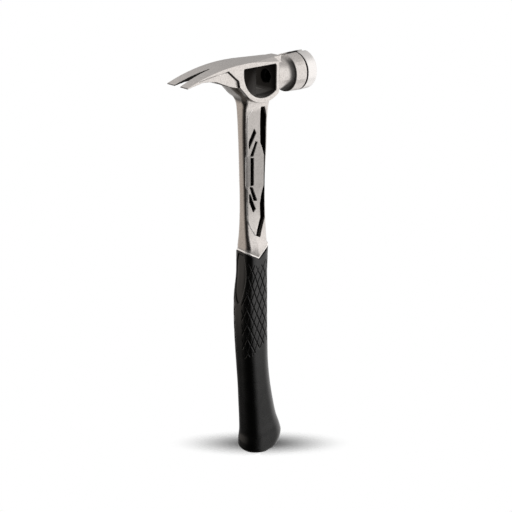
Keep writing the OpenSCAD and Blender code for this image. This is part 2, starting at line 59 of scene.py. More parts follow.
# %% Camera
HEADING = math.radians(42.32)
PITCH = math.radians(24.8)
camera_data = bpy.data.cameras.new("photo_camera")
camera_data.sensor_width = 36
camera_data.lens = 55.547
camera_data.clip_start = 0.01
camera = bpy.data.objects.new("photo_camera", camera_data)
camera.location = (-0.5025, -0.5567, 0.5945)
camera.rotation_euler = (math.pi / 2 - PITCH, 0, -HEADING)
bpy.context.scene.collection.objects.link(camera)
bpy.context.scene.camera = camera
bpy.context.scene.view_settings.view_transform = "Standard"
print("camera heading", round(math.degrees(HEADING), 1), "pitch", round(math.degrees(PITCH), 1))

# %% [markdown]
# A few small helpers serve every material and piece. Colours are written as sRGB hex values, because that is
# what a colour picker gives, and one function turns them to the linear values that shaders use. One adds a
# node with its settings and links, one makes an object of a bmesh, and one gives a finished piece its
# material, hangs it on the empty of the body that carries it and hides the solid that it stands for.
# The last one eases from 0 to 1 between two limits, so that painted regions end softly.

# %% Helpers
def linear(code):
    parts = [int(code[i:i + 2], 16) / 255 for i in (1, 3, 5)]
    return [c / 12.92 if c <= 0.04045 else ((c + 0.055) / 1.055) ** 2.4 for c in parts] + [1.0]


def add_node(tree, kind, settings=None, inputs=None):
    made = tree.nodes.new(kind)
    for name, value in (settings or {}).items():
        setattr(made, name, value)
    for name, value in (inputs or {}).items():
        if isinstance(value, bpy.types.NodeSocket):
            tree.links.new(value, made.inputs[name])
        else:
            made.inputs[name].default_value = value
    return made


def piece_from(bm, name):
    mesh = bpy.data.meshes.new(name)
    bm.to_mesh(mesh)
    bm.free()
    piece = bpy.data.objects.new(name, mesh)
    bpy.context.scene.collection.objects.link(piece)
    return piece


def settle(piece, body, node, material):
    piece.data.materials.clear()
    piece.data.materials.append(material)
    piece.data.polygons.foreach_set("use_smooth", [True] * len(piece.data.polygons))
    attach(piece, body)
    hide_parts(node)
    print(piece.name, "has", len(piece.data.polygons), "faces")


def smoothstep(low, high, value):
    share = min(1.0, max(0.0, (value - low) / (high - low)))
    return share * share * (3 - 2 * share)


print("sRGB #808080 is linear", round(linear("#808080")[0], 3))

# %% [markdown]
# The casting is a titanium alloy, poured in a ceramic mould and bead-blasted. That gives the eye a warm
# grey satin with a faint mottle and a fine grain. Its edges are painted pale, partly as edge wear and partly
# as painted highlight, and its grooves, hollows and undersides get a near-black colour as painted shade. Both
# could be painted in an image, but two attributes on the mesh, worked out further down from the hammer's own
# sizes, say the same without one.

# %% Cast titanium
titanium = bpy.data.materials.new("bead_blasted_titanium")
titanium.use_nodes = True
tree = titanium.node_tree
shader = tree.nodes["Principled BSDF"]
shader.inputs["Specular IOR Level"].default_value = 0.12
place = add_node(tree, "ShaderNodeTexCoord")
painted_shade = add_node(tree, "ShaderNodeAttribute", {"attribute_name": "painted_shade"})
pale_tone = add_node(tree, "ShaderNodeAttribute", {"attribute_name": "pale_tone"})
# Mottle of 7 mm from the mould, specks of 1.4 mm and a blasted grain of 0.5 mm
mottle = add_node(tree, "ShaderNodeTexNoise", inputs={
    "Vector": place.outputs["Object"], "Scale": 1 / (7 * MM), "Detail": 5.0, "Roughness": 0.6})
specks = add_node(tree, "ShaderNodeTexNoise", inputs={
    "Vector": place.outputs["Object"], "Scale": 1 / (1.4 * MM), "Detail": 3.0, "Roughness": 0.65})
grain = add_node(tree, "ShaderNodeTexNoise", inputs={
    "Vector": place.outputs["Object"], "Scale": 1 / (0.5 * MM), "Detail": 2.0})
metal = add_node(tree, "ShaderNodeMix", {"data_type": "RGBA"}, {
    0: mottle.outputs["Fac"], 6: linear("#cbc5c0"), 7: linear("#dcd8d4")})
speck_level = add_node(tree, "ShaderNodeMapRange", inputs={
    "Value": specks.outputs["Fac"], "From Min": 0.36, "From Max": 0.56, "To Min": 0.82, "To Max": 1.03})
specked = add_node(tree, "ShaderNodeMix", {"data_type": "RGBA", "blend_type": "MULTIPLY"}, {
    0: 1.0, 6: metal.outputs[2], 7: speck_level.outputs["Result"]})
# Pale edges, partly edge wear and partly painted highlight
edged = add_node(tree, "ShaderNodeMix", {"data_type": "RGBA"}, {
    0: pale_tone.outputs["Fac"], 6: specked.outputs[2], 7: linear("#f0ece8")})
# Painted shade: a near-black is mixed in where hollows, grooves and undersides fall in shade
skin = add_node(tree, "ShaderNodeMix", {"data_type": "RGBA"}, {
    0: painted_shade.outputs["Fac"], 6: edged.outputs[2], 7: linear("#0d0a08")})
sheen = add_node(tree, "ShaderNodeMapRange", inputs={
    "Value": mottle.outputs["Fac"], "From Min": 0.3, "From Max": 0.7, "To Min": 0.25, "To Max": 0.33})
dulled = add_node(tree, "ShaderNodeMapRange", inputs={
    "Value": painted_shade.outputs["Fac"], "To Min": sheen.outputs["Result"], "To Max": 0.75})
bare = add_node(tree, "ShaderNodeMapRange", inputs={
    "Value": painted_shade.outputs["Fac"], "To Min": 1.0, "To Max": 0.5})
# The pale edges are less metallic, so their painted highlight shows from every side
pale_edge_metal = add_node(tree, "ShaderNodeMapRange", inputs={
    "Value": pale_tone.outputs["Fac"], "To Min": bare.outputs["Result"], "To Max": 0.55})
rough_height = add_node(tree, "ShaderNodeMath", {"operation": "ADD"}, {
    0: specks.outputs["Fac"], 1: grain.outputs["Fac"]})
blasted = add_node(tree, "ShaderNodeBump", inputs={
    "Height": rough_height.outputs[0], "Strength": 0.35, "Distance": 0.06 * MM})
tree.links.new(skin.outputs[2], shader.inputs["Base Color"])
tree.links.new(dulled.outputs["Result"], shader.inputs["Roughness"])
tree.links.new(pale_edge_metal.outputs["Result"], shader.inputs["Metallic"])
tree.links.new(blasted.outputs["Normal"], shader.inputs["Normal"])
print("material", titanium.name)

# %% [markdown]
# The casting's edges are soft, because molten metal leaves no knife edges. A Bevel could round them, but
# the solid has thousands of small facets where curved faces meet, and a bevel tears there. So a copy of
# the solid is rebuilt from small voxels and smoothed, which rounds every edge alike, as blasting does,
# and is then thinned where it is flat. Fine shapes can be pressed into the mesh before it is thinned.

# %% Softened copy of a solid
def apply_modifiers(piece):
    depsgraph = bpy.context.evaluated_depsgraph_get()
    done = bpy.data.meshes.new_from_object(piece.evaluated_get(depsgraph))
    piece.modifiers.clear()
    piece.data = done


def softened(name, node, voxel, passes, triangles, shape=None):
    bm = bmesh.new()
    bm.from_mesh(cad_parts[node].data)
    bmesh.ops.remove_doubles(bm, verts=bm.verts, dist=0.001 * MM)
    piece = piece_from(bm, name)
    rebuild = piece.modifiers.new("voxels", "REMESH")
    rebuild.mode = "VOXEL"
    rebuild.voxel_size = voxel
    soften = piece.modifiers.new("soften", "SMOOTH")
    soften.factor = 0.5
    soften.iterations = passes
    apply_modifiers(piece)
    if shape:
        shape(piece.data)
    thin = piece.modifiers.new("thin", "DECIMATE")
    thin.ratio = min(1.0, triangles / (2 * len(piece.data.polygons)))
    apply_modifiers(piece)
    return piece


print("the casting's solid has", len(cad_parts["titanium_body"].data.polygons), "facets")

# %% [markdown]
# Two fine details are cast in one with the body. Where the rubber ends, a narrow raised lip follows the
# notch in the grip's top edge; the mould for the grip closes on it. On each side of the claw a shallow crease
# runs back from the window's step. They could be separate strips, but they belong to the same skin, so points
# of the fine mesh move a little before it is thinned.

# %% Lip above the grip and crease beside the claw
# Sizes are in millimetres, and a line is a row of points (X, Z) in the side view. A pair of limits says where
# a push or a shade begins and where it is full.
NOTCH_X = -3.0
EDGE_BACK, EDGE_NOTCH, EDGE_FRONT = 258.0, 249.5, 262.0
TOP_BACK, TOP_FRONT = -16.8, 15.2
LIP_W, LIP_H, LIP_Z = 2.2, 0.8, (248, 268)
LIP_FOOT, LIP_TOP = (0.0, 0.5), (LIP_W + 0.4, LIP_W - 0.2)
CREASE = ((-76.0, 443.3), (-58.0, 445.7), (-42.0, 446.9))
CREASE_W, CREASE_D = 0.9, 0.35
CREASE_X, CREASE_Z = (-78, -41), (441, 449)
FACES_SIDE, FACES_OUT = 0.8, 0.5


def within(value, limits):
    return limits[0] < value < limits[1]


def grip_edge(x):
    """Height of the grip's top edge: it falls from the back to a notch and climbs to the front corner."""
    if x > NOTCH_X:
        return EDGE_NOTCH + (EDGE_FRONT - EDGE_NOTCH) * min(1.0, (x - NOTCH_X) / (TOP_FRONT - NOTCH_X))
    return EDGE_BACK + (EDGE_NOTCH - EDGE_BACK) * max(0.0, (x - TOP_BACK) / (NOTCH_X - TOP_BACK))


def off_line(x, z, line):
    """Distance in the side view from a point to a line of straight pieces."""
    spot, nearest = Vector((x, z)), 1000.0
    for start, end in zip(line, line[1:]):
        along = Vector(end) - Vector(start)
        share = min(1.0, max(0.0, (spot - Vector(start)).dot(along) / along.length_squared))
        nearest = min(nearest, (spot - Vector(start) - along * share).length)
    return nearest


def cast_details(mesh):
    normals = [v.normal.copy() for v in mesh.vertices]
    for v, normal in zip(mesh.vertices, normals):
        x, y, z = v.co / MM
        push = 0.0
        if within(z, LIP_Z):
            above = z - grip_edge(x)
            push = LIP_H * smoothstep(*LIP_FOOT, above) * smoothstep(*LIP_TOP, above)
        elif within(x, CREASE_X) and within(z, CREASE_Z) and abs(normal.y) > FACES_SIDE:
            push = -CREASE_D * smoothstep(CREASE_W, 0, off_line(x, z, CREASE))
        out = Vector((normal.x, normal.y, 0))
        if push and out.length > FACES_OUT:
            v.co += out.normalized() * push * MM


casting = softened("titanium_casting", "titanium_body", voxel=0.42 * MM, passes=3, triangles=190000,
                   shape=cast_details)
print("casting rebuilt with", len(casting.data.polygons), "faces")

# %% [markdown]
# Shade is painted into the recesses of the casting: their colour is darkened where shade falls in them. On
# the shaft they are the deep groove and the slots round the plaque, with a thin line of painted shadow above
# the lip, while the raised panel is only a little darker than the rest. A node that finds hollows could
# darken them, but it would catch the soft corners too. Each place is a plain region of the hammer, so a few
# distances from its faces say how dark a point is, from 0 for bare metal to 1 for the darkest painted shade.

# %% Painted shade on the shaft
PANEL_HALF, PANEL_Z, PANEL_REAR = 6.2, (270, 408), -14.6
GROOVE_LOW_X, GROOVE_HIGH_X, GROOVE_BEND = 12.1, 12.7, 355
SLOTS_REAR = -11.4
PLAQUE_MID, PLAQUE_Z, PLAQUE_REAR = 345, (329, 360), -7.5
SEAM_REACH, SEAM_MID, SEAM_HALF, SEAM_X = 2, 0.5, (0.7, 0.3), (1, -3)
SLOT_SIDES, PLAQUE_REACH, PANEL_FOOT = (PANEL_HALF - 0.5, PANEL_HALF - 1.3), (40, 15), (310, 285)
PANEL_BACK, PANEL_LOW, PANEL_TOP = (-14, -12.5), (270, 280), (408, 402)
SEAM_DARK, PANEL_DARK, PLAQUE_DARKER, FOOT_PALER, CHAMFER_DARK = 0.55, 0.28, 0.12, 0.18, 0.6


def shaft_shade(x, side, z):
    above = z - grip_edge(x)
    # A thin line of painted shadow just above the lip
    if above < LIP_W + SEAM_REACH:
        return SEAM_DARK * smoothstep(*SEAM_HALF, abs(above - LIP_W - SEAM_MID)) * smoothstep(*SEAM_X, x)
    front = GROOVE_LOW_X if z < GROOVE_BEND else GROOVE_HIGH_X
    if not (within(z, PANEL_Z) and PANEL_REAR < x < front):
        return 0.0
    # Painted shade in the deep groove and the slots round the plaque
    deep = smoothstep(*SLOT_SIDES, side) if x > SLOTS_REAR else 0.0
    # The panel is a little darker, most round the plaque and less towards its foot
    panel = (PANEL_DARK + PLAQUE_DARKER * smoothstep(*PLAQUE_REACH, abs(z - PLAQUE_MID))
             - FOOT_PALER * smoothstep(*PANEL_FOOT, z))
    # Painted shade on the plaque's rear chamfer
    if within(z, PLAQUE_Z) and x < PLAQUE_REAR:
        panel = CHAMFER_DARK
    ends = smoothstep(*PANEL_LOW, z) * smoothstep(*PANEL_TOP, z)
    return max(deep, panel * smoothstep(*PANEL_BACK, x) * ends)


print("the plaque is dark by", round(shaft_shade(0, PANEL_HALF, PLAQUE_MID), 2))

# %% [markdown]
# In the head, the inside of the window is painted nearly black as shade, and so is the bolt's bore, with the
# window's floor a little paler. Round the bell, shade is painted in the throat behind the flare, at the end
# of the nail groove and in the thin joint to the cap. The window is part of a round hole, so a distance from
# its middle finds it; the bell is round about the striking axis, so a distance from that axis sorts its
# points.

# %% Painted shade in the window and on the bell
WINDOW_X, WINDOW_Z, WINDOW_R, WINDOW_SOFT = 1.7, 442.6, 25.5, 0.3
WINDOW_FRONT, WINDOW_TOP = 17.4, 447.6
WINDOW_FLOOR, WINDOW_MOUTH = (424, 417), (14.9, 13.6)
WINDOW_DARK, FLOOR_PALER = 0.99, 0.12
AXIS_H = 433
JOINT = 55.0
JOINT_X = (JOINT - 0.6, JOINT - 0.2)
BORE_R, BORE_FRONT = 12.6, JOINT - 1
THROAT_FRONT = 41.1
WAIST_X, WAIST_SHIFT, WAIST_FADE, WAIST_LOW, WAIST_TOP = 33, 5, 5, (430, 421), (452, 444)
GROOVE_FLOOR, GROOVE_HALF, GROOVE_END = 448.8, 2.75, (44, 48)
GROOVE_Z = (GROOVE_FLOOR - 0.8, GROOVE_FLOOR + 3)
# Levels of painted shade
BLACK, DARK, DULL = 0.97, 0.95, 0.85


def window_shade(x, side, z):
    from_middle = math.hypot(x - WINDOW_X, z - WINDOW_Z)
    if from_middle > WINDOW_R + WINDOW_SOFT or x > WINDOW_FRONT or z > WINDOW_TOP:
        return 0.0
    # Painted shade inside the window, a little paler on its floor
    shade = WINDOW_DARK - FLOOR_PALER * smoothstep(*WINDOW_FLOOR, z)
    return shade * smoothstep(*WINDOW_MOUTH, side)


def bell_shade(x, side, z):
    # Painted shade in the bolt's bore
    if math.hypot(side, z - AXIS_H) < BORE_R:
        return BLACK if x < BORE_FRONT else 0.0
    deep = 0.0
    if x < THROAT_FRONT:
        # Painted shade in the throat behind the flare
        waist = WAIST_X - WAIST_SHIFT * smoothstep(*WAIST_LOW, z)
        deep = DULL * smoothstep(waist, waist + WAIST_FADE, x) * smoothstep(*WAIST_TOP, z)
    elif side < GROOVE_HALF and within(z, GROOVE_Z):
        # Painted shade at the end of the nail groove
        deep = DARK * smoothstep(*GROOVE_END, x)
    # Painted shade in the thin joint to the cap
    return max(deep, BLACK * smoothstep(*JOINT_X, x))


print("the window is dark by", round(window_shade(WINDOW_X, 0, AXIS_H), 2))

# %% [markdown]
# On the claw, shade is painted along the slanted step behind the window, in the crease, under the claw's
# root, inside the slot for nails and on the blunt tips. Some of these faces meet at one edge, so the
# direction that a point faces decides too. Then every point of the casting gets its painted shade as an
# attribute.

# %% Painted shade on the claw
STEP = ((-42.0, 447.4), (-30.0, 437.0), (-29.0, 431.0))
STEP_REAR, STEP_SIDE, STEP_HALF = -43, (12.5, 14.8), (0.7, 0.3)
CREASE_SIDE, CREASE_DARK, CREASE_HALF = 9, 0.45, (0.8, 0.2)
CLAW_UNDER = ((-58.0, 440.9), (-55.0, 439.6), (-39.5, 433.0))
UNDER_X, UNDER_SIDE, UNDER_TOP, UNDER_HALF = (-54, -37), 4, 440, (2.8, 2.0)
SLOT_X, SLOT_SIDE, FACES_SLOT = -52, 4.5, 0.6
TIP_X, FACES_BACK, TIP_DARK = -85, -0.55, 0.75
HEAD_FOOT, CLAW_X, BELL_X = 410, -26, 17


def claw_shade(x, side, z, normal):
    deep = 0.0
    # Painted shade along the step, in the crease, under the claw's root, in the nail slot and on the blunt
    # tips
    if x > STEP_REAR and within(side, STEP_SIDE):
        deep = DULL * smoothstep(*STEP_HALF, off_line(x, z, STEP))
    if within(x, CREASE_X) and side > CREASE_SIDE:
        deep = max(deep, CREASE_DARK * smoothstep(*CREASE_HALF, off_line(x, z, CREASE)))
    if within(x, UNDER_X) and side > UNDER_SIDE and z < UNDER_TOP and abs(normal.y) < FACES_SIDE:
        deep = max(deep, DARK * smoothstep(*UNDER_HALF, off_line(x, z, CLAW_UNDER)))
    if x < SLOT_X and side < SLOT_SIDE and abs(normal.y) > FACES_SLOT:
        deep = max(deep, DARK)
    if x < TIP_X and normal.x < FACES_BACK:
        deep = max(deep, TIP_DARK)
    return deep


# How dark the painted shade is at a point of the casting
def shade_at(x, y, z, normal):
    side = abs(y)
    if z < HEAD_FOOT:
        return shaft_shade(x, side, z)
    if x < CLAW_X:
        return claw_shade(x, side, z, normal)
    return max(window_shade(x, side, z), bell_shade(x, side, z) if x > BELL_X else 0.0)


shade_levels = [shade_at(*(v.co / MM), v.normal) for v in casting.data.vertices]
casting.data.attributes.new("painted_shade", "FLOAT", "POINT").data.foreach_set("value", shade_levels)
print("share of points in recesses", round(sum(d > 0.5 for d in shade_levels) / len(shade_levels), 3))

# %% [markdown]
# The outer edges are painted paler than the faces, partly as edge wear from blasting and partly as painted
# highlight. An edge is found from the mesh: at a point on an outer edge, the neighbours lie below the plane
# of the point's normal. The further below, the paler the point. A band along the lip above the grip and the
# low edge of the raised panel get a painted highlight; that edge is too soft to be found that way, so it is
# followed as a line.

# %% Worn edges and painted highlights
PANEL_EDGE = ((-3.8, 275.0), (-9.3, 284.5), (-12.6, 293.5), (-12.6, 311.0), (-11.8, 318.0), (-11.6, 322.5),
              (-13.8, 330.5), (-13.8, 358.3), (-12.0, 365.0), (-12.4, 369.5), (-12.4, 399.0), (-6.8, 405.5))
EDGE_X, EDGE_SIDE, EDGE_Z, EDGE_HALF = (-16, -2), 4.5, (272, 408), (0.9, 0.3)
LIP_BAND = (0.2, LIP_W)
BEND_SEEN, EDGE_PALE, LIP_HIGHLIGHT, PANEL_HIGHLIGHT = (0.08, 0.26), 0.8, 0.7, 0.85
points = casting.data.vertices
bends = [0.0] * len(points)
neighbours = [0] * len(points)
for edge in casting.data.edges:
    a, b = edge.vertices
    way = (points[b].co - points[a].co).normalized()
    for spot, sign in ((a, -1), (b, 1)):
        bends[spot] += sign * points[spot].normal.dot(way)
        neighbours[spot] += 1
# Pale edges, partly edge wear and partly painted highlight
wear_and_highlights = [EDGE_PALE * smoothstep(*BEND_SEEN, bend / max(1, count)) * (1 - depth)
              for bend, count, depth in zip(bends, neighbours, shade_levels)]
for v in points:
    x, y, z = v.co / MM
    # Painted highlight on the band along the lip
    if within(z - grip_edge(x), LIP_BAND):
        wear_and_highlights[v.index] = LIP_HIGHLIGHT
    # Painted highlight along the low edge of the raised panel
    elif within(x, EDGE_X) and abs(y) > EDGE_SIDE and within(z, EDGE_Z):
        highlight = PANEL_HIGHLIGHT * smoothstep(*EDGE_HALF, off_line(x, z, PANEL_EDGE))
        wear_and_highlights[v.index] = max(wear_and_highlights[v.index], highlight)
casting.data.attributes.new("pale_tone", "FLOAT", "POINT").data.foreach_set("value", wear_and_highlights)
settle(casting, "hammer", "titanium_body", titanium)
print("share of points on worn edges", round(sum(w > 0.4 for w in wear_and_highlights) / len(wear_and_highlights), 3))

# %% [markdown]
# The striking cap is turned from tool steel and left bright. A lathe leaves fine rings round its axis, on
# the face and on the side alike. They could be real grooves, but at a tenth of a millimetre they would
# need millions of faces, so a wave texture in the bump draws them: waves round a point on the axis meet
# both the face and the side in circles.

# %% Turned steel
steel = bpy.data.materials.new("turned_tool_steel")
steel.use_nodes = True
tree = steel.node_tree
shader = tree.nodes["Principled BSDF"]
shader.inputs["Metallic"].default_value = 1.0
place = add_node(tree, "ShaderNodeTexCoord")
centred = add_node(tree, "ShaderNodeMapping", inputs={
    "Vector": place.outputs["Object"], "Location": (0, 0, -AXIS_H * MM)})
# Rings 0.15 mm apart, drawn at 0.6 mm so that they show; at scale 1 the waves would lie 0.3 m apart
rings = add_node(tree, "ShaderNodeTexWave", {"wave_type": "RINGS", "rings_direction": "SPHERICAL"}, {
    "Vector": centred.outputs["Vector"], "Scale": 0.3 / (0.6 * MM), "Distortion": 0.4, "Detail": 1.0})
smudge = add_node(tree, "ShaderNodeTexNoise", inputs={
    "Vector": place.outputs["Object"], "Scale": 1 / (5 * MM), "Detail": 4.0})
bright = add_node(tree, "ShaderNodeMix", {"data_type": "RGBA"}, {
    0: smudge.outputs["Fac"], 6: linear("#e0ddda"), 7: linear("#eeecea")})
polish = add_node(tree, "ShaderNodeMapRange", inputs={
    "Value": smudge.outputs["Fac"], "From Min": 0.3, "From Max": 0.7, "To Min": 0.24, "To Max": 0.36})
turned = add_node(tree, "ShaderNodeBump", inputs={
    "Height": rings.outputs["Fac"], "Strength": 0.12, "Distance": 0.03 * MM})
# Painted shade: the attribute darkens the cap's rear face in the joint and the end of the nail groove
painted_shade = add_node(tree, "ShaderNodeAttribute", {"attribute_name": "painted_shade"})
shaded_steel = add_node(tree, "ShaderNodeMix", {"data_type": "RGBA"}, {
    0: painted_shade.outputs["Fac"], 6: bright.outputs[2], 7: linear("#0d0a08")})
tree.links.new(shaded_steel.outputs[2], shader.inputs["Base Color"])
tree.links.new(polish.outputs["Result"], shader.inputs["Roughness"])
tree.links.new(turned.outputs["Normal"], shader.inputs["Normal"])
print("material", steel.name)

# %% [markdown]
# The cap is a drum with a spigot behind it that enters the bell. It could be spun from a profile, but the
# nail groove and the pin's hole cut into it, so a copy of its solid is softened as the casting was. Its rear
# face in the joint and the end of its nail groove are darkened with painted shade.

# %% Striking cap
CAP_SHADE_REAR = (JOINT + 1.45, JOINT + 1.15)
CAP_SHADE_HALF, CAP_SHADE_Z = 2.8, (GROOVE_FLOOR - 0.8, GROOVE_FLOOR + 3.1)
CAP_SHADE_CLEARS, CAP_SHADE_LOSS = (60, 64), 0.5
cap = softened("striking_cap", "strike_cap", voxel=0.3 * MM, passes=2, triangles=90000)


def cap_shade_at(x, y, z):
    # Painted shade on the rear face in the joint, and at the end of the nail groove
    cap_shade = BLACK * smoothstep(*CAP_SHADE_REAR, x)
    if abs(y) < CAP_SHADE_HALF and within(z, CAP_SHADE_Z):
        cap_shade = max(cap_shade, DARK - CAP_SHADE_LOSS * smoothstep(*CAP_SHADE_CLEARS, x))
    return cap_shade


cap_shades = [cap_shade_at(*(v.co / MM)) for v in cap.data.vertices]
cap.data.attributes.new("painted_shade", "FLOAT", "POINT").data.foreach_set("value", cap_shades)
settle(cap, "cap", "strike_cap", steel)

# %% [markdown]
# The cap's bolt is an alloy steel screw, blackened in hot salts: nearly black, with a dull and slightly
# uneven shine. The dark spring steel of the washer, the ground steel of the pin and the nickel plate of the
# magnet differ from it in colour and polish. Each could have its own nodes, but one function makes all four.

# %% Small steel finishes
def small_finish(name, low, high, rough, metallic, speck):
    made = bpy.data.materials.new(name)
    made.use_nodes = True
    tree = made.node_tree
    shader = tree.nodes["Principled BSDF"]
    shader.inputs["Metallic"].default_value = metallic
    place = add_node(tree, "ShaderNodeTexCoord")
    cloud = add_node(tree, "ShaderNodeTexNoise", inputs={
        "Vector": place.outputs["Object"], "Scale": 1 / (speck * MM), "Detail": 4.0})
    colour = add_node(tree, "ShaderNodeMix", {"data_type": "RGBA"}, {
        0: cloud.outputs["Fac"], 6: linear(low), 7: linear(high)})
    shine = add_node(tree, "ShaderNodeMapRange", inputs={
        "Value": cloud.outputs["Fac"], "From Min": 0.3, "From Max": 0.7,
        "To Min": rough - 0.06, "To Max": rough + 0.08})
    uneven = add_node(tree, "ShaderNodeBump", inputs={
        "Height": cloud.outputs["Fac"], "Strength": 0.1, "Distance": 0.03 * MM})
    tree.links.new(colour.outputs[2], shader.inputs["Base Color"])
    tree.links.new(shine.outputs["Result"], shader.inputs["Roughness"])
    tree.links.new(uneven.outputs["Normal"], shader.inputs["Normal"])
    print("material", name)
    return made


black_oxide = small_finish("black_oxide_steel", "#1c1c1e", "#303033", 0.42, 0.85, 1.5)
spring = small_finish("tempered_spring_steel", "#4a4a4c", "#6a696a", 0.38, 1.0, 1.2)
ground = small_finish("ground_dowel_steel", "#a9a6a2", "#c6c3be", 0.28, 1.0, 0.8)
nickel = small_finish("nickel_plate", "#b9b5ae", "#d8d4cc", 0.2, 1.0, 1.0)

# %% [markdown]
# The bolt lies along the striking axis, with its head in the window. Its head is a short drum with a hex
# socket. A Boolean could cut the socket, but it leaves stray faces. So rings of points round the axis are
# bridged from the neck to the socket's mouth, the last one is pulled into a hexagon, and the hexagon is
# extruded inwards.

# %% Bolt head
HEX_FLATS, SOCKET_D, SOCKET_MOUTH = 6.0, 4.2, 4.2
HEAD_L, NECK_R = 7.9, 3.6
SEGMENTS = 72
# Room left between a small piece and its solid's box
CLEAR = 0.02


def on_axis(x):
    return Matrix.Translation((x * MM, 0, AXIS_H * MM)) @ Matrix.Rotation(math.pi / 2, 4, "Y")


def ring_of(bm, x, radius):
    made = bmesh.ops.create_circle(bm, segments=SEGMENTS, radius=radius * MM, matrix=on_axis(x))
    return made["verts"]


def edges_of(verts):
    chosen = set(verts)
    return list({e for v in verts for e in v.link_edges if set(e.verts) <= chosen})


bolt_low, bolt_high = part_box("cap_bolt")
head_x = bolt_low.x / MM
tip_x = bolt_high.x / MM
head_r = bolt_high.y / MM - CLEAR
# Distance from the head's end, and radius
profile = [(HEAD_L, NECK_R), (HEAD_L, head_r - 0.3), (HEAD_L - 0.3, head_r), (0.7, head_r),
           (0.25, head_r - 0.2), (CLEAR, head_r - 0.7), (CLEAR, SOCKET_MOUTH)]
bm = bmesh.new()
circles = [ring_of(bm, head_x + x, r) for x, r in profile]
hexagon = ring_of(bm, head_x + 0.3, 1)
for v in hexagon:
    angle = math.atan2(v.co.y, v.co.z - AXIS_H * MM)
    turn = (angle + math.pi / 6) % (math.pi / 3) - math.pi / 6
    reach = HEX_FLATS / 2 / math.cos(turn)
    v.co.y = math.sin(angle) * reach * MM
    v.co.z = (AXIS_H + math.cos(angle) * reach) * MM
circles.append(hexagon)
for first, second in zip(circles, circles[1:]):
    bmesh.ops.bridge_loops(bm, edges=edges_of(first) + edges_of(second))
inward = bmesh.ops.extrude_edge_only(bm, edges=edges_of(hexagon))["geom"]
floor_ring = [g for g in inward if isinstance(g, bmesh.types.BMVert)]
bmesh.ops.translate(bm, verts=floor_ring, vec=(SOCKET_D * MM, 0, 0))
bmesh.ops.contextual_create(bm, geom=edges_of(floor_ring))
bmesh.ops.holes_fill(bm, edges=[e for e in bm.edges if e.is_boundary], sides=0)
bmesh.ops.recalc_face_normals(bm, faces=bm.faces)
print("bolt head with", len(bm.faces), "faces")

# %% [markdown]
# A lathe cuts the bolt's thread by turning the bar while the tool moves along. The same happens here: one
# small notch is spun many times round the axis and moves on by one pitch at each turn. A Screw modifier could
# do it too. Both ends are then cut square, and the tip is narrowed so that it enters the cap easily.

# %% Bolt thread
THREAD_PITCH, TURN_STEPS = 1.25, 40
CREST_R, ROOT_R = 3.98, 3.32
start_x = head_x + HEAD_L
thread_turns = int((tip_x - start_x) / THREAD_PITCH) + 2
notch = [(0, ROOT_R), (0.14, ROOT_R), (0.55, CREST_R), (0.7, CREST_R), (1.11, ROOT_R), (THREAD_PITCH, ROOT_R)]
thread = bmesh.new()
corners = [thread.verts.new(((start_x - THREAD_PITCH + x) * MM, 0, (AXIS_H + r) * MM)) for x, r in notch]
strip = [thread.edges.new(pair) for pair in zip(corners, corners[1:])]
bmesh.ops.spin(thread, geom=corners + strip, cent=(0, 0, AXIS_H * MM), axis=(1, 0, 0),
               dvec=(THREAD_PITCH / TURN_STEPS * MM, 0, 0), angle=thread_turns * 2 * math.pi,
               steps=thread_turns * TURN_STEPS, use_merge=False, use_duplicate=False)
bmesh.ops.remove_doubles(thread, verts=thread.verts, dist=0.002 * MM)
for x, way in ((start_x, -1), (tip_x - CLEAR, 1)):
    everything = thread.verts[:] + thread.edges[:] + thread.faces[:]
    bmesh.ops.bisect_plane(thread, geom=everything, plane_co=(x * MM, 0, AXIS_H * MM),
                           plane_no=(way, 0, 0), clear_outer=True)
for v in thread.verts:
    limit = (CREST_R - max(0.0, v.co.x / MM - tip_x + 1)) * MM
    out = math.hypot(v.co.y, v.co.z - AXIS_H * MM)
    if out > limit:
        v.co.y *= limit / out
        v.co.z = AXIS_H * MM + (v.co.z - AXIS_H * MM) * limit / out
bmesh.ops.holes_fill(thread, edges=[e for e in thread.edges if e.is_boundary], sides=0)
bmesh.ops.recalc_face_normals(thread, faces=thread.faces)
cut = bpy.data.meshes.new("thread")
thread.to_mesh(cut)
thread.free()
bm.from_mesh(cut)
settle(piece_from(bm, "cap_screw"), "bolt", "cap_bolt", black_oxide)

# %% [markdown]
# Under the bolt's head lies a split spring washer. It could be a ring with a slit, but it is a square wire
# wound once, so it is made that way: a small square is spun not quite round the axis and climbs a little as
# it goes.

# %% Lock washer
WIRE_IN, WIRE_T, WIRE_ROOM = 4.25, 1.7, 0.03
WIRE_START, WIRE_SWEEP, WIRE_STEPS = math.radians(6), math.radians(348), 64
washer_low, washer_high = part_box("lock_washer")
wire_out = washer_high.y / MM - CLEAR
climb = (washer_high.x - washer_low.x) / MM - WIRE_T - 2 * WIRE_ROOM
left = washer_low.x / MM + WIRE_ROOM
bm = bmesh.new()
square = [bm.verts.new(((left + x) * MM, 0, (AXIS_H + r) * MM))
          for x, r in ((0, WIRE_IN), (WIRE_T, WIRE_IN), (WIRE_T, wire_out), (0, wire_out))]
bm.faces.new(square)
bmesh.ops.rotate(bm, verts=square, cent=(0, 0, AXIS_H * MM), matrix=Matrix.Rotation(WIRE_START, 3, "X"))
bmesh.ops.spin(bm, geom=bm.faces[:] + bm.edges[:] + square, cent=(0, 0, AXIS_H * MM), axis=(1, 0, 0),
               dvec=(climb / WIRE_STEPS * MM, 0, 0), angle=WIRE_SWEEP, steps=WIRE_STEPS, use_merge=False)
bmesh.ops.recalc_face_normals(bm, faces=bm.faces)
rim = [e for e in bm.edges if e.is_manifold and e.calc_face_angle() > 1]
bmesh.ops.bevel(bm, geom=rim, offset=0.15 * MM, segments=2, profile=0.5, material=-1, affect="EDGES")
settle(piece_from(bm, "split_washer"), "bolt", "lock_washer", spring)

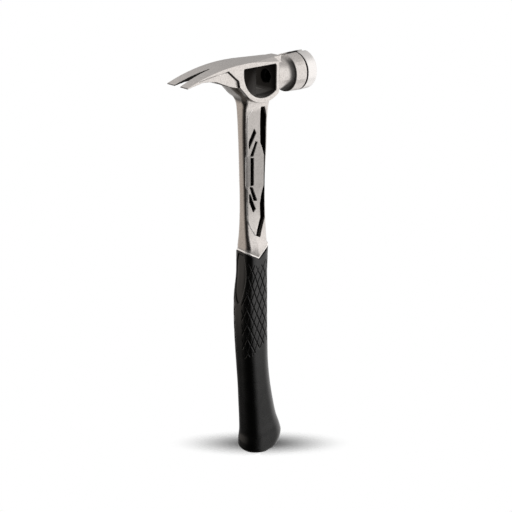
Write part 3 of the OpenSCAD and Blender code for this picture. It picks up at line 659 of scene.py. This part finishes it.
# %% [markdown]
# The locating pin stops the cap from turning with its bolt, and the magnet holds a nail in its groove. Both
# are ground cylinders with broken edges. They could be spun from a profile, but a cylinder with its two rims
# bevelled is shorter to write.

# %% Pin and magnet
def bevelled_bar(name, matrix, radius, length, chamfer):
    bm = bmesh.new()
    bmesh.ops.create_cone(bm, cap_ends=True, segments=48, radius1=radius * MM, radius2=radius * MM,
                          depth=length * MM, matrix=matrix)
    rims = [e for e in bm.edges if e.calc_face_angle() > 1]
    bmesh.ops.bevel(bm, geom=rims, offset=chamfer * MM, segments=3, profile=0.5, material=-1,
                    affect="EDGES")
    return piece_from(bm, name)


pin_low, pin_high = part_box("locating_pin")
pin_place = Matrix.Translation((pin_low + pin_high) / 2) @ Matrix.Rotation(math.pi / 2, 4, "Y")
pin = bevelled_bar("dowel_pin", pin_place, radius=1.99, length=(pin_high.x - pin_low.x) / MM, chamfer=0.4)
settle(pin, "hammer", "locating_pin", ground)
magnet_low, magnet_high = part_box("nail_magnet")
magnet_place = Matrix.Translation((magnet_low + magnet_high) / 2)
magnet = bevelled_bar("round_magnet", magnet_place, radius=2.24,
                      length=(magnet_high.z - magnet_low.z) / MM, chamfer=0.25)
settle(magnet, "hammer", "nail_magnet", nickel)

# %% [markdown]
# The grip is black rubber, moulded on in one shot. Its skin has a low sheen and a fine grain, and hands rub
# it paler in patches. The grooves are matt, and their colour is darkened as painted shade. A picture of
# rubber could be wrapped round it, but an attribute on the mesh that says how deep in a groove a point lies
# lets the finish follow the pattern.

# %% Moulded rubber
rubber = bpy.data.materials.new("moulded_black_rubber")
rubber.use_nodes = True
tree = rubber.node_tree
shader = tree.nodes["Principled BSDF"]
shader.inputs["IOR"].default_value = 1.5
shader.inputs["Specular IOR Level"].default_value = 0.5
place = add_node(tree, "ShaderNodeTexCoord")
groove = add_node(tree, "ShaderNodeAttribute", {"attribute_name": "groove"})
# Wear in patches of 14 mm, and a moulded grain of 0.15 mm drawn at 0.45 mm so that it shows
wear = add_node(tree, "ShaderNodeTexNoise", inputs={
    "Vector": place.outputs["Object"], "Scale": 1 / (14 * MM), "Detail": 5.0, "Roughness": 0.6})
grain = add_node(tree, "ShaderNodeTexNoise", inputs={
    "Vector": place.outputs["Object"], "Scale": 1 / (0.45 * MM), "Detail": 2.0})
pale_tone = add_node(tree, "ShaderNodeMix", {"data_type": "RGBA"}, {
    0: wear.outputs["Fac"], 6: linear("#040404"), 7: linear("#0a0a09")})
# Painted shade: the grooves get a darker black
black = add_node(tree, "ShaderNodeMix", {"data_type": "RGBA"}, {
    0: groove.outputs["Fac"], 6: pale_tone.outputs[2], 7: linear("#020202")})
rubbed = add_node(tree, "ShaderNodeMapRange", inputs={
    "Value": wear.outputs["Fac"], "From Min": 0.3, "From Max": 0.7, "To Min": 0.22, "To Max": 0.3})
matt = add_node(tree, "ShaderNodeMapRange", inputs={
    "Value": groove.outputs["Fac"], "To Min": rubbed.outputs["Result"], "To Max": 0.75})
grained = add_node(tree, "ShaderNodeBump", inputs={
    "Height": grain.outputs["Fac"], "Strength": 0.2, "Distance": 0.06 * MM})
tree.links.new(black.outputs[2], shader.inputs["Base Color"])
tree.links.new(matt.outputs["Result"], shader.inputs["Roughness"])
tree.links.new(grained.outputs["Normal"], shader.inputs["Normal"])
print("material", rubber.name)

# %% [markdown]
# The grip's skin is a tube that swells under the thumb and sweeps forward at the butt. It could be a
# subdivided cage, but the diamond grooves need an even grid that runs with them. So a flat grid is rolled
# round the handle: its columns go round the grip and its rows go up it. Each level is a rectangle with
# rounded corners, and a smooth curve through a few measured levels gives the ones between.

# %% Levels of the grip
# Height, reach to the back and to the front, half width, and corner radii at the back and at the front
LEVELS = [
    (0, 6, 29, 15.25, 14.75, 14.75), (1.5, 9.5, 32.5, 15.85, 15.35, 15.35),
    (5, 15.6, 35, 16.05, 15.35, 15.35), (14, 17.6, 37.5, 15.75, 14.15, 13.75),
    (26, 15.7, 34.1, 15.75, 13.55, 12.35), (40, 15.7, 29.8, 14.75, 12.15, 12.35),
    (65, 16.3, 24.2, 14.2, 11, 12), (90, 17.1, 19.7, 13.9, 10.5, 11.5),
    (118, 18.6, 16.3, 13.8, 10, 11), (146, 20.2, 14.8, 13.9, 10, 10.5),
    (186, 21.2, 14, 14, 10, 10.5), (207, 20.6, 14.1, 13.8, 10, 10.5),
    (230, 17.6, 14.3, 13.2, 9.5, 10.5), (248, 17, 14.9, 13, 9, 10), (258, 16.8, 15.2, 13, 9, 10)]


def slope(k, size):
    """How fast a size changes at a level: the mean of the steps beside it, the nearer counting more."""
    steps = []
    for low, high in zip(LEVELS[max(0, k - 1):k + 1], LEVELS[max(1, k):k + 2]):
        rise = high[0] - low[0]
        steps.append(((high[size] - low[size]) / rise, 1 / rise))
    return sum(step * weight for step, weight in steps) / sum(weight for step, weight in steps)


def sizes_at(z):
    k = max(i for i, row in enumerate(LEVELS[:-1]) if i == 0 or row[0] <= z)
    low, high = LEVELS[k], LEVELS[k + 1]
    rise = high[0] - low[0]
    t = (z - low[0]) / rise
    return [low[i] * (1 + 2 * t) * (1 - t) ** 2 + slope(k, i) * rise * t * (1 - t) ** 2
            + high[i] * t * t * (3 - 2 * t) - slope(k + 1, i) * rise * t * t * (1 - t) for i in range(1, 6)]


print("grip", LEVELS[-1][0], "mm high at the back, widest", 2 * max(row[3] for row in LEVELS), "mm")

# %% [markdown]
# The points of a level are spaced evenly along its outline, from the middle of the back, so that the
# diamonds keep their width all the way round. The mean of each point and its neighbours then takes the hard
# change from flat to round away, as the mould maker's polishing does.

# %% Rings of the grip
DIAMONDS, PER_DIAMOND = 14, 24
COLUMNS = DIAMONDS * PER_DIAMOND
DIAMOND_H = 17.8
ROW_H = DIAMOND_H / PER_DIAMOND
POLISH = 8


def outline_point(sizes, along):
    back, front, half, rb, rf = sizes
    flat = half - rb
    corner = flat + rb * math.pi / 2
    side = corner + front + back - rf - rb
    nose = side + rf * math.pi / 2
    if along < flat:
        return -back, -along
    if along < corner:
        angle = (along - flat) / rb
        return rb - back - rb * math.cos(angle), rb - half - rb * math.sin(angle)
    if along < side:
        return rb - back + along - corner, -half
    if along < nose:
        angle = (along - side) / rf
        return front - rf + rf * math.sin(angle), rf - half - rf * math.cos(angle)
    return front, along - nose - half + rf


def outline_ring(z):
    sizes = sizes_at(z)
    halfway = sizes[0] + sizes[1] + 2 * sizes[2] - (2 - math.pi / 2) * (sizes[3] + sizes[4])
    ring = []
    for j in range(COLUMNS):
        along = 2 * halfway * j / COLUMNS
        x, y = outline_point(sizes, min(along, 2 * halfway - along))
        ring.append(Vector((x, y if along <= halfway else -y)))
    near = range(-POLISH, POLISH + 1)
    return [sum((ring[(j + k) % COLUMNS] for k in near), Vector((0, 0))) / len(near)
            for j in range(COLUMNS)]


print("a diamond is", round(DIAMOND_H, 1), "mm tall and has", PER_DIAMOND, "rows of points")

# %% [markdown]
# The rings lie close together at the butt's rounded edge and in the pattern, and further apart on the plain
# lower half, where nothing needs them. Near the top they are lowered towards the notch, so that the last ring
# is the grip's slanted top edge. Cutting the tube on a slant would leave ragged faces there.

# %% Stack of rings
NOTCH_FROM = 230.0
PATTERN_FOOT = 126.0
BUTT_HEIGHTS = [0, 0.15, 0.4, 0.8, 1.3, 2, 3, 4.2, 5.6, 7.2, 9, 11]
PLAIN_STEP, PLAIN_RINGS = 2.5, 45


def lowered(z, x):
    share = max(0.0, (z - NOTCH_FROM) / (EDGE_BACK - NOTCH_FROM))
    return z - (EDGE_BACK - grip_edge(x)) * share


heights = BUTT_HEIGHTS + [BUTT_HEIGHTS[-1] + PLAIN_STEP * i for i in range(1, PLAIN_RINGS + 1)]
heights += [PATTERN_FOOT + ROW_H * i for i in range(int((EDGE_BACK - 1 - PATTERN_FOOT) / ROW_H))]
heights += [EDGE_BACK - drop for drop in (0.75, 0.4, 0.15, 0)]
outer = [[Vector((p.x, p.y, lowered(z, p.x))) for p in outline_ring(z)] for z in heights]
print(len(outer), "rings of", COLUMNS, "points round the outside")

# %% [markdown]
# Inside, the rubber closes round the casting. The skin turns over the top edge, runs down the shoulder to
# its ledge and follows the tang to its foot, so the grip is one closed body with a hollow. The hollow's
# walls could be written out again, but rays shot at the solid from the handle's line find them as they are.

# %% Inside of the grip
LEDGE, TANG_FOOT = 240.95, 13.95
SHOULDER_SHOT, TANG_SHOT, FOOT_SHOT = 243.0, 200.0, 20.0
SHOTS = 720
MIDDLE = -2.0
solid = bmesh.new()
solid.from_mesh(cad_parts["rubber_grip"].data)
wall = BVHTree.FromBMesh(solid)
solid.free()


def inside_ring(shot_z):
    """COLUMNS points spaced evenly along the hollow's outline, from the middle of the back."""
    ring = []
    for i in range(SHOTS + 1):
        angle = math.pi + 2 * math.pi * i / SHOTS
        way = Vector((math.cos(angle), math.sin(angle), 0))
        ring.append(wall.ray_cast(Vector((MIDDLE, 0, shot_z)) * MM, way)[0].xy / MM)
    along = [0.0]
    for p, q in zip(ring, ring[1:]):
        along.append(along[-1] + (q - p).length)
    spaced, k = [], 0
    for j in range(COLUMNS):
        want = along[-1] * j / COLUMNS
        while along[k + 1] < want:
            k += 1
        spaced.append(ring[k].lerp(ring[k + 1], (want - along[k]) / (along[k + 1] - along[k])))
    return spaced


shoulder, tang, foot = (inside_ring(shot) for shot in (SHOULDER_SHOT, TANG_SHOT, FOOT_SHOT))
inner = [[Vector((p.x, p.y, lowered(EDGE_BACK, p.x))) for p in shoulder]]
for z, ring in ((LEDGE, shoulder), (LEDGE, tang), (TANG_FOOT, foot)):
    inner.append([Vector((p.x, p.y, z)) for p in ring])
print(len(inner), "rings round the hollow")

# %% [markdown]
# The rings become a skin. A flat grid has the right faces already, so each of its points is sent to its place
# on a ring, the two edges that meet at the back are welded, and the ends at the butt and at the tang's foot
# are closed.

# %% Roll the skin
rows = outer + inner
bm = bmesh.new()
bmesh.ops.create_grid(bm, x_segments=COLUMNS, y_segments=len(rows) - 1, size=1)
base = {}
for v in bm.verts:
    column = round((v.co.x + 1) / 2 * COLUMNS) % COLUMNS
    row = round((v.co.y + 1) / 2 * (len(rows) - 1))
    v.co = rows[row][column] * MM
    base[v] = (row, column)
seam = bmesh.ops.find_doubles(bm, verts=bm.verts, dist=0.0005 * MM)["targetmap"]
bmesh.ops.weld_verts(bm, targetmap=seam)
base = {v: spot for v, spot in base.items() if v.is_valid}
bmesh.ops.holes_fill(bm, edges=[e for e in bm.edges if e.is_boundary], sides=0)
bmesh.ops.recalc_face_normals(bm, faces=bm.faces)
bm.normal_update()
print("grip skin with", len(bm.faces), "faces")

# %% [markdown]
# The pattern is pressed into the skin: two sets of grooves cross at a slant and leave tall diamonds. A bump
# texture would draw them, but then the grip's outline would stay smooth, so the points themselves move
# inwards. The grooves leave a plain band along the top edge, stop on a slant below the hand and end at the
# back, where a shallow leaf-shaped scoop takes the thumb.

# %% Grooves and thumb scoop
GROOVE_W, GROOVE_D = 1.7, 0.7
# Distance round the grip where the pattern lies
ROUND_GRIP = 108.0
SCOOP_HALF, SCOOP_MID, SCOOP_REACH, SCOOP_D, SCOOP_RIM = 8.1, 230.0, 31.0, 1.1, 1.5
groove_pitch = 1 / math.hypot(DIAMONDS / ROUND_GRIP, 1 / DIAMOND_H)


def groove_at(column, z):
    across, up = (column - COLUMNS / 2) / PER_DIAMOND, z / DIAMOND_H + 0.5
    deep = 0.0
    for phase in (across + up, across - up):
        off = abs(phase - round(phase)) * groove_pitch
        if off < GROOVE_W / 2:
            deep = max(deep, 0.5 + 0.5 * math.cos(2 * math.pi * off / GROOVE_W))
    return deep


def scoop_edge(z):
    return SCOOP_HALF * math.sqrt(max(0.0, 1 - ((z - SCOOP_MID) / SCOOP_REACH) ** 2))


print("grooves are", round(groove_pitch, 1), "mm apart")

# %% [markdown]
# Each point of the outside gets one depth: the groove's, where the pattern has room, plus the scoop's, plus a
# small rounding of the top edge. Near the top the grooves are shallower, because the rubber is thin over the
# shoulder. The move is level, so that the rings stay at their heights, and how deep in a groove a point lies
# is kept as an attribute for the finish.

# %% Press the pattern
BAND, STRIP_HALF, RUN_OUT = 8.5, 4.8, 1
SLANT_Z, SLANT, SLANT_RUN = 144.0, 0.56, 1.5
THIN_Z, THIN_LOSS = (232, 238), 0.4
SCOOP_WALL, SCOOP_TOP = 1.3, (2.5, 4.0)
EDGE_R = 0.8
lengths = [sum((b - a).length for a, b in zip(r, r[1:] + r[:1])) for r in outer]
moves = []
marks = {}
for v, (row, column) in base.items():
    marks[v] = 0.0
    if row >= len(outer):
        continue
    x, z = v.co.x / MM, v.co.z / MM
    below_edge = grip_edge(x) - z
    round_back = min(column, COLUMNS - column) / COLUMNS * lengths[row]
    press = 0.0
    if z > PATTERN_FOOT:
        plain = max(STRIP_HALF, scoop_edge(z) + SCOOP_RIM)
        room = (smoothstep(BAND, BAND + RUN_OUT, below_edge) * smoothstep(plain, plain + RUN_OUT, round_back)
                * smoothstep(0, SLANT_RUN, z - SLANT_Z - SLANT * x))
        marks[v] = room * groove_at(column, heights[row])
        press = marks[v] * GROOVE_D * (1 - THIN_LOSS * smoothstep(*THIN_Z, z))
        inside_scoop = smoothstep(0, SCOOP_WALL, scoop_edge(z) - round_back)
        press += SCOOP_D * inside_scoop * smoothstep(*SCOOP_TOP, below_edge)
    if below_edge < EDGE_R:
        press += EDGE_R - math.sqrt(max(0.0, EDGE_R ** 2 - (EDGE_R - max(0.0, below_edge)) ** 2))
    if press > 0:
        moves.append((v, v.normal.copy() * press * MM))
for v, move in moves:
    v.co -= Vector((move.x, move.y, 0))
bm.verts.index_update()
order = {v.index: value for v, value in marks.items()}
values = [order.get(i, 0.0) for i in range(len(bm.verts))]
grip = piece_from(bm, "moulded_grip")
# The groove attribute makes the rubber matt and darkens it as painted shade
grip.data.attributes.new("groove", "FLOAT", "POINT").data.foreach_set("value", values)
settle(grip, "hammer", "rubber_grip", rubber)

# %% [markdown]
# The hammer stands on a plain white floor. Near the butt the floor is matt and takes the shadow; further out
# it fades into the white world, so no edge shows. One large plane would do as well, but the floor is made in
# two halves, left and right of the butt as the camera sees it, so that each half can have its own lamp.

# %% Floor
RIGHT = Vector((math.cos(HEADING), -math.sin(HEADING), 0))
AHEAD = Vector((math.sin(HEADING), math.cos(HEADING), 0))
BUTT = Vector((11.5, 0, 0)) * MM
FLOOR_R, FLOOR_DROP = 0.2, 0.1 * MM
FADE_FROM, FADE_TO, FADE_DEPTH = 0.005, 0.11, 0.24
floor_mat = bpy.data.materials.new("matt_white_floor")
floor_mat.use_nodes = True
tree = floor_mat.node_tree
tree.nodes.clear()
place = add_node(tree, "ShaderNodeTexCoord")
# After this turn, X runs to the camera's right; the patch is four times as wide as it is deep
turned_place = add_node(tree, "ShaderNodeMapping", {"vector_type": "TEXTURE"}, {
    "Vector": place.outputs["Object"], "Location": BUTT, "Rotation": (0, 0, -HEADING),
    "Scale": (1, FADE_DEPTH, 1)})
from_butt = add_node(tree, "ShaderNodeVectorMath", {"operation": "LENGTH"}, {
    0: turned_place.outputs["Vector"]})
fade = add_node(tree, "ShaderNodeMapRange", {"interpolation_type": "SMOOTHSTEP"}, {
    "Value": from_butt.outputs["Value"], "From Min": FADE_FROM, "From Max": FADE_TO})
matt_white = add_node(tree, "ShaderNodeBsdfDiffuse", inputs={"Color": linear("#fafafa")})
clear = add_node(tree, "ShaderNodeBsdfTransparent")
floor_mix = add_node(tree, "ShaderNodeMixShader", inputs={
    0: fade.outputs["Result"], 1: matt_white.outputs[0], 2: clear.outputs[0]})
add_node(tree, "ShaderNodeOutputMaterial", inputs={"Surface": floor_mix.outputs[0]})


def floor_half(name, turn):
    bm = bmesh.new()
    bmesh.ops.create_circle(bm, cap_ends=True, segments=96, radius=FLOOR_R)
    kept = bm.verts[:] + bm.edges[:] + bm.faces[:]
    bmesh.ops.bisect_plane(bm, geom=kept, plane_co=(0, 0, 0), plane_no=RIGHT * turn, clear_inner=True)
    bmesh.ops.translate(bm, verts=bm.verts, vec=BUTT - Vector((0, 0, FLOOR_DROP)))
    half = piece_from(bm, name)
    half.data.materials.append(floor_mat)
    half.visible_glossy = False
    return half


floor_right = floor_half("floor_right", 1)
floor_left = floor_half("floor_left", -1)
print("floor halves", floor_left.name, floor_right.name)

# %% [markdown]
# A white room lights everything a little. Two soft boxes, one at each side of the camera's view, light the
# floor and cast the shadows at the butt. As a photographer would flag them off with black cards, each one
# lights only the half of the floor that lies beyond the hammer.

# %% World and soft boxes
ROOM_LEVEL = 0.16
BOX_W, BOX_H, BOX_POWER = 0.35, 0.7, 36
BOX_ASIDE, BOX_AHEAD, BOX_UP = 1.2, -0.1, 0.8
world = bpy.data.worlds.new("white_room")
bpy.context.scene.world = world
world.use_nodes = True
tree = world.node_tree
tree.nodes.clear()
path = add_node(tree, "ShaderNodeLightPath")
seen = add_node(tree, "ShaderNodeMath", {"operation": "MAXIMUM"}, {
    0: path.outputs["Is Camera Ray"], 1: path.outputs["Is Glossy Ray"]})
shown = add_node(tree, "ShaderNodeMath", {"operation": "MAXIMUM"}, {
    0: seen.outputs[0], 1: path.outputs["Is Transmission Ray"]})
level_of = add_node(tree, "ShaderNodeMapRange", inputs={
    "Value": shown.outputs[0], "To Min": ROOM_LEVEL, "To Max": 1.0})
sky = add_node(tree, "ShaderNodeBackground", inputs={
    "Color": (1, 1, 1, 1), "Strength": level_of.outputs["Result"]})
add_node(tree, "ShaderNodeOutputWorld", inputs={"Surface": sky.outputs[0]})
lit_pieces = [casting, cap, grip]


def soft_box(name, aside, half):
    lamp = bpy.data.lights.new(name, "AREA")
    lamp.shape = "RECTANGLE"
    lamp.size, lamp.size_y = BOX_W, BOX_H
    lamp.energy = BOX_POWER
    made = bpy.data.objects.new(name, lamp)
    made.location = RIGHT * aside + AHEAD * BOX_AHEAD + Vector((0, 0, BOX_UP))
    made.rotation_euler = (BUTT - made.location).to_track_quat("-Z", "Y").to_euler()
    made.visible_glossy = False
    bpy.context.scene.collection.objects.link(made)
    only = bpy.data.collections.new(name + "_lights")
    for lit in [half] + lit_pieces:
        only.objects.link(lit)
    made.light_linking.receiver_collection = only


soft_box("right_box", BOX_ASIDE, floor_left)
soft_box("left_box", -BOX_ASIDE, floor_right)
print("two soft boxes of", BOX_POWER, "W")

# %% [markdown]
# Bright metal shows what stands round it, so a photographer builds a tent of white and grey cloth, with a
# dark gap where the camera looks in. An image of a studio could do this, but the same tent is made here as
# a ball that only reflections see: bright at the camera's right, grey at its left and behind, and dark in
# front, which draws the dark line down each rounded corner. Towards the floor the cloth is darker, except
# far to the right.

# %% Directions in the tent
TENT_R = 3
TENT_GAIN = 2.5
WARM = (1.0, 0.91, 0.83)
WHITE = (1.0, 0.985, 0.98)
tent_mat = bpy.data.materials.new("light_tent")
tent_mat.use_nodes = True
tree = tent_mat.node_tree
tree.nodes.clear()
place = add_node(tree, "ShaderNodeTexCoord")
# After this turn, X runs to the camera's right and Y away from the camera
facing = add_node(tree, "ShaderNodeMapping", inputs={
    "Vector": place.outputs["Object"], "Rotation": (0, 0, HEADING)})
unit = add_node(tree, "ShaderNodeVectorMath", {"operation": "NORMALIZE"}, {0: facing.outputs["Vector"]})
parts = add_node(tree, "ShaderNodeSeparateXYZ", inputs={"Vector": unit.outputs["Vector"]})
towards = add_node(tree, "ShaderNodeMath", {"operation": "MULTIPLY"}, {0: parts.outputs["Y"], 1: -1.0})
angle = add_node(tree, "ShaderNodeMath", {"operation": "ARCTAN2"}, {
    0: parts.outputs["X"], 1: towards.outputs[0]})
round_share = add_node(tree, "ShaderNodeMapRange", inputs={
    "Value": angle.outputs[0], "From Min": -math.pi, "From Max": math.pi})
print("tent turned", round(math.degrees(HEADING), 1), "degrees to the camera")

# %% [markdown]
# The cloth has an upper and a lower row of panels, and each row is a colour ramp over the angle from the
# camera. The rows, the roof and the ground blend into each other by height. Separate emitting planes could
# stand for the panels, but their edges would show in the metal.

# %% Cloth of the tent
# Degrees from the camera, to its right, with the level and the tint of the cloth there
UPPER = [(-180, 0.46, WHITE), (-145, 0.84, WHITE), (-116, 0.66, WARM), (-92, 0.62, WARM), (-66, 0.3, WARM),
         (-36, 0.015, WARM), (36, 0.015, WARM), (56, 1.16, WHITE), (110, 1.26, WHITE), (145, 0.88, WHITE),
         (180, 0.46, WHITE)]
LOWER = [(-180, 0.5, WHITE), (-120, 0.1, WHITE), (-85, 0.02, WHITE), (-55, 0.003, WARM), (60, 0.003, WARM),
         (84, 0.3, WHITE), (104, 1.1, WHITE), (145, 1.15, WHITE), (180, 0.5, WHITE)]
ROOF_LEVEL, GROUND_LEVEL = 0.62, 0.08
# Heights on a ball of radius 1 where one cloth gives way to the next
ROWS_MEET, ROOF_STARTS, GROUND_ENDS = (-0.5, -0.42), (0.6, 0.85), (-0.92, -0.72)


def dyed(level, tint):
    return [level / TENT_GAIN * c for c in tint] + [1.0]


def cloth(stops):
    made = add_node(tree, "ShaderNodeValToRGB", inputs={"Fac": round_share.outputs["Result"]})
    ramp = made.color_ramp
    while len(ramp.elements) < len(stops):
        ramp.elements.new(0.5)
    for element, (degrees, level, tint) in zip(ramp.elements, stops):
        element.position = (degrees + 180) / 360
        element.color = dyed(level, tint)
    return made.outputs["Color"]


def blend(limits, lower, upper):
    share = add_node(tree, "ShaderNodeMapRange", {"interpolation_type": "SMOOTHSTEP"}, {
        "Value": parts.outputs["Z"], "From Min": limits[0], "From Max": limits[1]})
    made = add_node(tree, "ShaderNodeMix", {"data_type": "RGBA"}, {
        0: share.outputs["Result"], 6: lower, 7: upper})
    return made.outputs[2]


walls = blend(ROWS_MEET, cloth(LOWER), cloth(UPPER))
roofed = blend(ROOF_STARTS, walls, dyed(ROOF_LEVEL, WHITE))
tent_colour = blend(GROUND_ENDS, dyed(GROUND_LEVEL, WARM), roofed)
glow = add_node(tree, "ShaderNodeEmission", inputs={"Color": tent_colour, "Strength": TENT_GAIN})
add_node(tree, "ShaderNodeOutputMaterial", inputs={"Surface": glow.outputs[0]})
bm = bmesh.new()
bmesh.ops.create_uvsphere(bm, u_segments=48, v_segments=24, radius=TENT_R)
tent = piece_from(bm, "light_tent")
tent.data.materials.append(tent_mat)
for way in ("visible_camera", "visible_diffuse", "visible_transmission", "visible_shadow"):
    setattr(tent, way, False)
print("light tent", round(tent.dimensions.x, 1), "m across")
